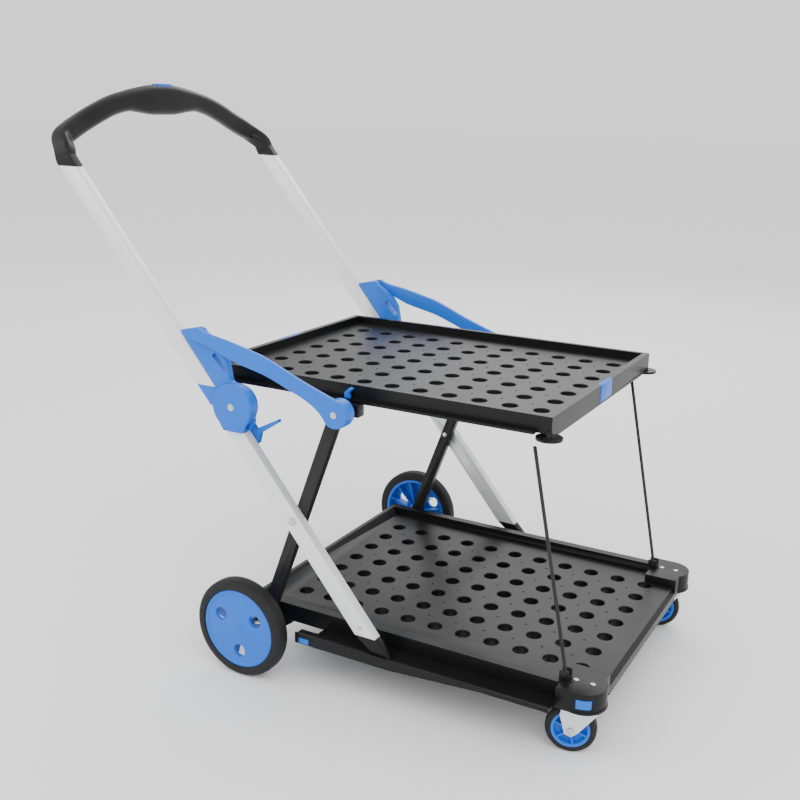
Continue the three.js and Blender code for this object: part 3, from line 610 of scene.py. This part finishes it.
class CART_OT_handle(bpy.types.Operator):
    """Arched grip with a thick middle, its square sleeves and the thumb button."""
    bl_idname = "cart.handle"
    bl_label = "Handle"

    def execute(self, context):
        low, high = box("handle")
        top = high.z
        tube_low, tube_high = box("left_upper_tube")
        tube_y = (tube_low.y + tube_high.y) / 2
        joint_z = tube_high.z
        joint_x = tube_low.x + 19.35 * MM
        bar_x = low.x + 17 * MM
        # rows: across, along, height, section depth, section height, corner radius
        keys = [
            (0, bar_x, top - 29.5 * MM, 31 * MM, 58 * MM, 14 * MM),
            (35 * MM, bar_x, top - 30 * MM, 31 * MM, 56 * MM, 14 * MM),
            (70 * MM, bar_x - 0.5 * MM, top - 30.5 * MM, 31 * MM, 47 * MM, 14 * MM),
            (100 * MM, bar_x - 0.5 * MM, top - 32.5 * MM, 30 * MM, 39 * MM, 13 * MM),
            (140 * MM, bar_x - 0.5 * MM, top - 41 * MM, 30 * MM, 37 * MM, 13 * MM),
            (180 * MM, bar_x, top - 55 * MM, 30 * MM, 37 * MM, 13 * MM),
            (220 * MM, bar_x, top - 72 * MM, 30 * MM, 37 * MM, 13 * MM),
            (252 * MM, bar_x + 3 * MM, top - 86 * MM, 31 * MM, 36 * MM, 12 * MM),
            (275 * MM, bar_x + 8 * MM, top - 98 * MM, 32 * MM, 32 * MM, 10 * MM),
            (289 * MM, joint_x - 17 * MM, top - 115 * MM, 33 * MM, 26 * MM, 6 * MM),
            (tube_y, joint_x - 9.9 * MM, joint_z + 12 * MM, 33.4 * MM, 21.2 * MM, 3.2 * MM),
            (tube_y, joint_x - 0.35 * MM, joint_z + 0.4 * MM, 33.4 * MM, 21.2 * MM, 3.2 * MM),
        ]
        half = smooth_path(keys, SLEEVE_STEPS)
        rows = [[-r[0], *r[1:]] for r in reversed(half)] + half[1:]
        centres = [Vector((r[1], r[0], r[2])) for r in rows]
        bm = bmesh.new()
        rings = []
        for i, row in enumerate(rows):
            ahead = centres[min(i + 1, len(rows) - 1)] - centres[max(i - 1, 0)]
            ahead.normalize()
            depth_axis = (Vector((1, 0, 0)) - ahead * ahead.x).normalized()
            height_axis = depth_axis.cross(ahead).normalized()
            level = 1 - min(i, len(rows) - 1 - i) / SLEEVE_STEPS
            if level > 0:
                across = Vector((0, 1 if height_axis.y > 0 else -1, 0))
                height_axis = height_axis.lerp(across, level)
                depth_axis = depth_axis.lerp(Vector((SLEEVE_STRETCH, 0, 0)), level)
            ring = [bm.verts.new(centres[i] + depth_axis * u + height_axis * v)
                    for u, v in rounded_section(*row[3:])]
            rings.append([bm.edges.new(pair) for pair in zip(ring, ring[1:] + ring[:1])])
        for first, second in zip(rings, rings[1:]):
            bmesh.ops.bridge_loops(bm, edges=first + second)
        bmesh.ops.holes_fill(bm, edges=rings[0] + rings[-1], sides=0)
        tidy(bm)
        well = bmesh.new()
        button_low, button_high = box("handle_button")
        play, travel = 0.4 * MM, 5.2 * MM
        block(well, (button_low.x - play, button_low.y - play, button_low.z - travel),
              (button_high.x + play, button_high.y + play, top + 20 * MM))
        bm = carve(bm, well)
        stand("handle_moulded", bm, "black_plastic", "upper_frame", ("handle",), angle=40)
        cap = round_edges(merged_copy("handle_button"), 2 * MM, 3)
        stand("handle_button_moulded", cap, "blue_plastic", "grip_button", ("handle_button",))
        return {"FINISHED"}


class CART_OT_frame(bpy.types.Operator):
    """Tubes, struts, stays, plugs and clamps of the folding frame."""
    bl_idname = "cart.frame"
    bl_label = "Folding frame"

    def execute(self, context):
        sizes = context.scene.cart_sizes
        for side, _ in SIDES:
            for piece, slot, width, segments in (
                    ("lower_tube", "aluminium", sizes.tube_round, 2),
                    ("upper_tube", "aluminium", sizes.tube_round, 2),
                    ("strut", "coated_steel", 3.2 * MM, 3),
                    ("foot_plug", "black_plastic", sizes.edge_round, 2),
                    ("stay", "coated_steel", 0.4 * MM, 1),
                    ("stay_clamp", "coated_steel", sizes.edge_round, 2),
                    ("tray_shoe", "black_plastic", sizes.edge_round, 2)):
                softened(f"{side}_{piece}", slot, width, segments)
        return {"FINISHED"}


def side_plate(outline, inner, outer, sign, width, segments=3):
    """A closed plate from a side outline in metres, its edges rounded."""
    bm = bmesh.new()
    stacked(bm, [[(x, sign * y, z) for x, z in outline] for y in (inner, outer)])
    bmesh.ops.recalc_face_normals(bm, faces=bm.faces)
    return round_edges(bm, width, segments, 40)


def round_boss(x, z, radius, inner, outer, sign, roll):
    """A disc with rolled rims, standing across the cart."""
    bm = bmesh.new()
    rings = [(radius - roll + roll * sin(radians(a)), inner + roll - roll * cos(radians(a)))
             for a in (0, 30, 60, 90)]
    rings += [(radius - roll + roll * cos(radians(a)), outer - roll + roll * sin(radians(a)))
              for a in (0, 30, 60, 90)]
    stacked(bm, [[(u, sign * y, v) for u, v, _ in circle(x, z, 0, r, BOSS_SIDES)]
                 for r, y in rings])
    bmesh.ops.recalc_face_normals(bm, faces=bm.faces)
    return bm


def placed(origin, points):
    """Outline points across the cart, given in millimetres from a pin."""
    return [(origin.x + x * MM, origin.z + z * MM) for x, z in points]


class CART_OT_hinges(bpy.types.Operator):
    """Frame hinges, link arms, release levers and tray hooks in blue plastic."""
    bl_idname = "cart.hinges"
    bl_label = "Hinges and links"

    def execute(self, context):
        for side, sign in SIDES:
            pin = middle(f"{side}_hinge_pin")
            top = middle(f"{side}_top_pin")
            low, high = box(f"{side}_lower_tube")
            near, far = sorted((abs(low.y), abs(high.y)))
            cap = near + 25.6 * MM
            neck = placed(pin, [(-18.4, -43.8), (20.3, -43.8), (30, -27), (24, 0), (-24, 0),
                                (-35, -19)])
            stop = placed(pin, [(-18.4, -43.8), (20.3, -43.8), (17.4, -40.4), (-21.3, -40.4)])
            lower = joined(
                round_boss(pin.x, pin.z, 40.5 * MM, far, cap, sign, 3.2 * MM),
                side_plate(neck, far, cap - 1.2 * MM, sign, 1.4 * MM),
                round_boss(pin.x, pin.z, 33.5 * MM, near - 8 * MM, near, sign, 2 * MM),
                side_plate(neck, near - 7 * MM, near, sign, 1.4 * MM),
                side_plate(stop, near - 0.2 * MM, far + 0.2 * MM, sign, 0.6 * MM))
            stand(f"{side}_lower_hinge_moulded", lower, "blue_plastic", "lower_frame",
                  (f"{side}_lower_hinge",))
            socket = placed(pin, [(-77.9, 27.4), (-50, -5.5), (-36, -10), (0, 0), (4, 33),
                                  (-9, 42), (-16, 78), (-27, 93), (-46, 110), (-62.4, 118.7),
                                  (-67, 125), (-74, 127), (-83, 125), (-112, 118.5),
                                  (-39.4, 27.6)])
            foot = placed(pin, [(-77.9, 27.4), (-50.5, -5), (-30, -5), (-10, 27.4)])
            inner, outer = near + 0.3 * MM, far - 0.3 * MM
            plate = side_plate(socket, inner + 1 * MM, outer - 1 * MM, sign, 1.4 * MM)
            slot = side_plate(placed(pin, [(-45, 82), (-19, 56), (-13, 62), (-39, 88)]),
                              inner - 5 * MM, outer + 5 * MM, sign, 1.0 * MM)
            plate = carve(plate, slot)
            upper = joined(
                plate, round_boss(pin.x, pin.z, 38 * MM, inner, outer, sign, 1.4 * MM),
                side_plate(foot, inner, outer, sign, 1.2 * MM))
            stand(f"{side}_upper_hinge_moulded", upper, "blue_plastic", "upper_frame",
                  (f"{side}_upper_hinge",))
            tip = Vector((pin.x - 74.4 * MM, 0, pin.z + 116.7 * MM))
            above = placed(tip, [(-8, 9), (6, 11.5), (24, 5), (69.5, -3), (116, -13.5),
                                 (149, -22.5)])
            above += placed(top, [(-72, 50), (-28, 34), (7, 22)])
            below = placed(top, [(-14, -18), (-34, 3), (-60, 18), (-84, 27), (-132, 45)])
            below += placed(tip, [(106, -42), (73, -34), (39, -21), (8, -12), (-9, -8)])
            outline = smooth_path(above, 4) + smooth_path(below, 4)
            skin = far + 0.6 * MM
            arm = joined(
                side_plate(outline, skin, skin + 9 * MM, sign, 2.2 * MM),
                round_boss(top.x, top.z, 23.5 * MM, near + 0.1 * MM, skin + 9.4 * MM, sign,
                           2.6 * MM))
            stand(f"{side}_link_moulded", arm, "blue_plastic", f"{side}_link_arm",
                  (f"{side}_link",))
            for piece in ("release_lever", "tray_hook"):
                softened(f"{side}_{piece}", "blue_plastic", 1.2 * MM)
        for node in ("tray_clip_front", "tray_clip_rear"):
            softened(node, "blue_plastic", 1.2 * MM)
        return {"FINISHED"}


class CART_OT_rear_wheels(bpy.types.Operator):
    """Rear wheels: round-shouldered tyres on dished rims with ribs behind, and the axle."""
    bl_idname = "cart.rear_wheels"
    bl_label = "Rear wheels"

    def execute(self, context):
        for side, sign in SIDES:
            low, high = box(f"{side}_rear_tyre")
            centre = (low + high) / 2
            outward = (0, sign, 0)
            big, half = (high.z - low.z) / 2, (high.y - low.y) / 2
            bead = big - REAR_TYRE_BAND
            bm = bmesh.new()
            profile = [(bead, -half + 1.5 * MM)]
            profile += arc(big - 8 * MM, -half + 8 * MM, 8 * MM, -90, 0)
            profile += arc(big - 10 * MM, half - 10 * MM, 10 * MM, 0, 90)
            profile += [(bead + 2 * MM, half), (bead, half - 1.5 * MM)]
            spun(bm, profile, centre, outward, 96)
            stand(f"{side}_rear_tyre_moulded", tidy(bm), "rubber", body_of(f"{side}_rear_tyre"),
                  (f"{side}_rear_tyre",))
            rim = bead - 0.2 * MM
            face = half - 2 * MM
            bm = bmesh.new()
            profile = [
                (6.3 * MM, -half), (15 * MM, -half), (16 * MM, face - 8 * MM),
                (rim - 7 * MM, face - 7 * MM), (rim - 6 * MM, -half + 3 * MM),
                (rim - 5 * MM, -half + 2 * MM), (rim, -half + 2 * MM), (rim, face - 1 * MM),
                (rim - 1 * MM, face), (rim - 5 * MM, face), (rim - 7 * MM, face - 1.6 * MM),
                (24 * MM, face - 1.0 * MM), (20 * MM, face), (9 * MM, face),
                (6.3 * MM, face - 3 * MM),
            ]
            spun(bm, profile, centre, outward, 96)
            tidy(bm)
            cutters = bmesh.new()
            for i in range(WHEEL_HOLES):
                a = radians(360 / WHEEL_HOLES * i + 32)
                spot = centre + Vector((cos(a), 0, sin(a))) * WHEEL_HOLE_CIRCLE
                spun(cutters, [(0, -20 * MM), (11.5 * MM, -20 * MM), (11.5 * MM, face - 2.6 * MM),
                               (13 * MM, face + 1 * MM), (0, face + 1 * MM)], spot, outward, 32)
            bm = carve(bm, tidy(cutters))
            ribs = bmesh.new()
            for i in range(WHEEL_RIBS):
                a = radians(360 / WHEEL_RIBS * i + 17)
                verts = block(ribs, (14.5 * MM, -half + 4 * MM, -1 * MM),
                              (rim - 5.5 * MM, face - 6.5 * MM, 1 * MM))
                bmesh.ops.scale(ribs, vec=(1, sign, 1), verts=verts)
                bmesh.ops.rotate(ribs, cent=(0, 0, 0), matrix=Matrix.Rotation(a, 3, "Y"),
                                 verts=verts)
                bmesh.ops.translate(ribs, vec=centre, verts=verts)
            bmesh.ops.recalc_face_normals(ribs, faces=ribs.faces)
            bm = carve(bm, ribs, "UNION")
            cap = bmesh.new()
            domed_head(cap, centre + Vector((0, sign * (face + 0.2 * MM), 0)), outward,
                       9.5 * MM, 1.2 * MM)
            stand(f"{side}_axle_cap", tidy(cap), "blue_plastic", body_of(f"{side}_rear_rim"))
            stand(f"{side}_rear_rim_moulded", bm, "blue_plastic", body_of(f"{side}_rear_rim"),
                  (f"{side}_rear_rim",))
        softened("rear_axle", "steel", 0.5 * MM, 1)
        return {"FINISHED"}


class CART_OT_casters(bpy.types.Operator):
    """Swivel casters: housings, release buttons, pressed forks, spoked wheels and bolts."""
    bl_idname = "cart.casters"
    bl_label = "Casters"

    def execute(self, context):
        for side, _ in SIDES:
            roll = next(j for j in frame["joints"] if j["name"] == f"{side}_caster_roll")
            axis = Vector(roll["axis"])
            centre = Vector(roll["pos_m"])
            radius, half = CASTER_RADIUS, CASTER_HALF_WIDTH
            bead = radius - CASTER_TYRE_BAND
            bm = bmesh.new()
            profile = [(bead, -half + MM)] + arc(radius - 7 * MM, -half + 7 * MM, 7 * MM, -90, 0)
            profile += arc(radius - 7 * MM, half - 7 * MM, 7 * MM, 0, 90) + [(bead, half - MM)]
            spun(bm, profile, centre, axis, 72)
            stand(f"{side}_caster_tyre_moulded", tidy(bm), "rubber", f"{side}_caster_wheel",
                  (f"{side}_caster_tyre",))
            rim = bead - 0.2 * MM
            bm = bmesh.new()
            profile = [
                (rim - 4.5 * MM, -half + 1.5 * MM), (rim, -half + 1 * MM), (rim, half - 1 * MM),
                (rim - 4.5 * MM, half - 1.5 * MM), (rim - 5 * MM, 2.5 * MM), (9 * MM, 2.5 * MM),
                (8.5 * MM, half), (4.3 * MM, half), (4.3 * MM, -half), (8.5 * MM, -half),
                (9 * MM, -2.5 * MM), (rim - 5 * MM, -2.5 * MM),
            ]
            spun(bm, profile, centre, axis, 72)
            tidy(bm)
            spokes = bmesh.new()
            side_axis = axis.cross(Vector((0, 0, 1))).normalized()
            to_axle = Matrix((side_axis, axis, (0, 0, 1))).transposed().to_4x4()
            for i in range(CASTER_SPOKES):
                verts = block(spokes, (8 * MM, -half + 2 * MM, -1.4 * MM),
                              (rim - 3.5 * MM, half - 2 * MM, 1.4 * MM))
                turned = Matrix.Rotation(radians(360 / CASTER_SPOKES * i + 20), 4, "Y")
                place = Matrix.Translation(centre) @ to_axle @ turned
                bmesh.ops.transform(spokes, matrix=place, verts=verts)
            bm = carve(bm, spokes, "UNION")
            stand(f"{side}_caster_rim_moulded", bm, "blue_plastic", f"{side}_caster_wheel",
                  (f"{side}_caster_rim",))
            for piece, slot, width, segments in (
                    ("caster_fork", "zinc", 0.8 * MM, 2), ("caster_bolt", "steel", 0.5 * MM, 2),
                    ("caster_housing", "black_plastic", 1.4 * MM, 3),
                    ("caster_release_button", "blue_plastic", 1.0 * MM, 2),
                    ("platform_button", "blue_plastic", 1.0 * MM, 2)):
                softened(f"{side}_{piece}", slot, width, segments)
        return {"FINISHED"}


class CART_OT_fasteners(bpy.types.Operator):
    """Rivets in the hinges, links and tubes, and screws in the caster housings."""
    bl_idname = "cart.fasteners"
    bl_label = "Fasteners"

    def execute(self, context):
        for side, sign in SIDES:
            outward = (0, sign, 0)
            for piece, radius, height in (("hinge_pin", 6.2 * MM, 0.8 * MM),
                                          ("top_pin", 5.6 * MM, 0.9 * MM)):
                node = f"{side}_{piece}"
                low, high = box(node)
                at = middle(node)
                at.y = (high.y if sign > 0 else low.y) + sign * 0.4 * MM
                softened(node, "steel", 0.4 * MM, 1)
                bm = bmesh.new()
                domed_head(bm, at, outward, radius, height)
                stand(f"{node}_head", tidy(bm), "steel", body_of(node))
            softened(f"{side}_cross_pin", "steel", 0.6 * MM)
            low, high = box(f"{side}_lower_tube")
            face = high.y if sign > 0 else low.y
            spot = Vector((AXLE.x + 227 * MM, face + sign * 0.3 * MM, low.z + 14.6 * MM))
            bm = bmesh.new()
            domed_head(bm, spot, outward, 4.2 * MM, 0.7 * MM)
            stand(f"{side}_tube_rivet", tidy(bm), "steel", "lower_frame")
            housing_top = box(f"{side}_caster_housing")[1].z
            for i, x in enumerate((AXLE.x + 586.6 * MM, AXLE.x + 614 * MM)):
                bm = bmesh.new()
                spot = Vector((x, sign * 242 * MM, housing_top + 0.4 * MM))
                domed_head(bm, spot, (0, 0, 1), 4.6 * MM, 0.9 * MM, 0.45)
                stand(f"{side}_housing_screw_{i + 1}", tidy(bm), "steel", "base")
        return {"FINISHED"}


class CART_OT_stage(bpy.types.Operator):
    """Pale floor, soft studio light and the camera."""
    bl_idname = "cart.stage"
    bl_label = "Stage"

    def execute(self, context):
        scene = context.scene
        bm = bmesh.new()
        bmesh.ops.create_grid(bm, x_segments=1, y_segments=1, size=30)
        mesh = bpy.data.meshes.new("studio_floor")
        bm.to_mesh(mesh)
        bm.free()
        floor = bpy.data.objects.new("studio_floor", mesh)
        scene.collection.objects.link(floor)
        pale = bpy.data.materials.new("studio_floor")
        pale.use_nodes = True
        shader = pale.node_tree.nodes["Principled BSDF"]
        shader.inputs["Base Color"].default_value = (0.97, 0.97, 0.97, 1)
        shader.inputs["Roughness"].default_value = 0.9
        mesh.materials.append(pale)
        world = bpy.data.worlds.new("studio")
        world.use_nodes = True
        sky = world.node_tree.nodes["Background"]
        sky.inputs["Color"].default_value = (1, 1, 1, 1)
        sky.inputs["Strength"].default_value = 1.25
        scene.world = world
        for name, place, size, power in (
                ("key_light", (2.2, -2.2, 3.0), 2.6, 75),
                ("fill_light", (-2.6, -2.4, 2.2), 2.6, 40),
                ("back_light", (-0.6, 3.0, 2.8), 2.4, 50)):
            data = bpy.data.lights.new(name, "AREA")
            data.size = size
            data.energy = power
            lamp = bpy.data.objects.new(name, data)
            scene.collection.objects.link(lamp)
            lamp.location = place
            aim = Vector((0, 0, 0.45)) - Vector(place)
            lamp.rotation_euler = aim.to_track_quat("-Z", "Y").to_euler()
        data = bpy.data.cameras.new("studio_camera")
        data.sensor_width = 36
        data.lens = 47.38
        camera = bpy.data.objects.new("studio_camera", data)
        scene.collection.objects.link(camera)
        yaw, pitch, roll = radians(28.84), radians(-15.83), radians(1.15)
        ahead = Vector((-sin(yaw) * cos(pitch), cos(yaw) * cos(pitch), sin(pitch)))
        level = Vector((cos(yaw), sin(yaw), 0))
        upright = level.cross(ahead)
        right = level * cos(roll) + upright * sin(roll)
        up = upright * cos(roll) - level * sin(roll)
        pose = Matrix((right, up, -ahead)).transposed().to_4x4()
        eye = Vector((AXLE.x + 1.04537, -1.66489, 0.98549))
        pose.translation = eye
        camera.matrix_world = pose
        scene.camera = camera
        return {"FINISHED"}


class CART_PT_sidebar(bpy.types.Panel):
    """Lists the cart's settings and its pieces."""
    bl_label = "Folding platform cart"
    bl_idname = "CART_PT_sidebar"
    bl_space_type = "VIEW_3D"
    bl_region_type = "UI"
    bl_category = "Cart"

    def draw(self, context):
        for group in (context.scene.cart_sizes, context.scene.cart_colours):
            for key in group.bl_rna.properties.keys():
                if key not in ("rna_type", "name"):
                    self.layout.prop(group, key)
        for operator in OPERATORS:
            self.layout.operator(operator.bl_idname)


OPERATORS = (CART_OT_stage, CART_OT_decks, CART_OT_handle, CART_OT_frame, CART_OT_hinges,
             CART_OT_rear_wheels, CART_OT_casters, CART_OT_fasteners)
CLASSES = (CartSizes, CartColours, *OPERATORS, CART_PT_sidebar)


def register():
    for cls in CLASSES:
        bpy.utils.register_class(cls)
    bpy.types.Scene.cart_sizes = bpy.props.PointerProperty(type=CartSizes)
    bpy.types.Scene.cart_colours = bpy.props.PointerProperty(type=CartColours)


def unregister():
    del bpy.types.Scene.cart_sizes
    del bpy.types.Scene.cart_colours
    for cls in reversed(CLASSES):
        bpy.utils.unregister_class(cls)


def main():
    register()
    make_materials()
    bpy.ops.cart.stage()
    bpy.ops.cart.decks()
    bpy.ops.cart.handle()
    bpy.ops.cart.frame()
    bpy.ops.cart.hinges()
    bpy.ops.cart.rear_wheels()
    bpy.ops.cart.casters()
    bpy.ops.cart.fasteners()


if __name__ == "__main__":
    main()
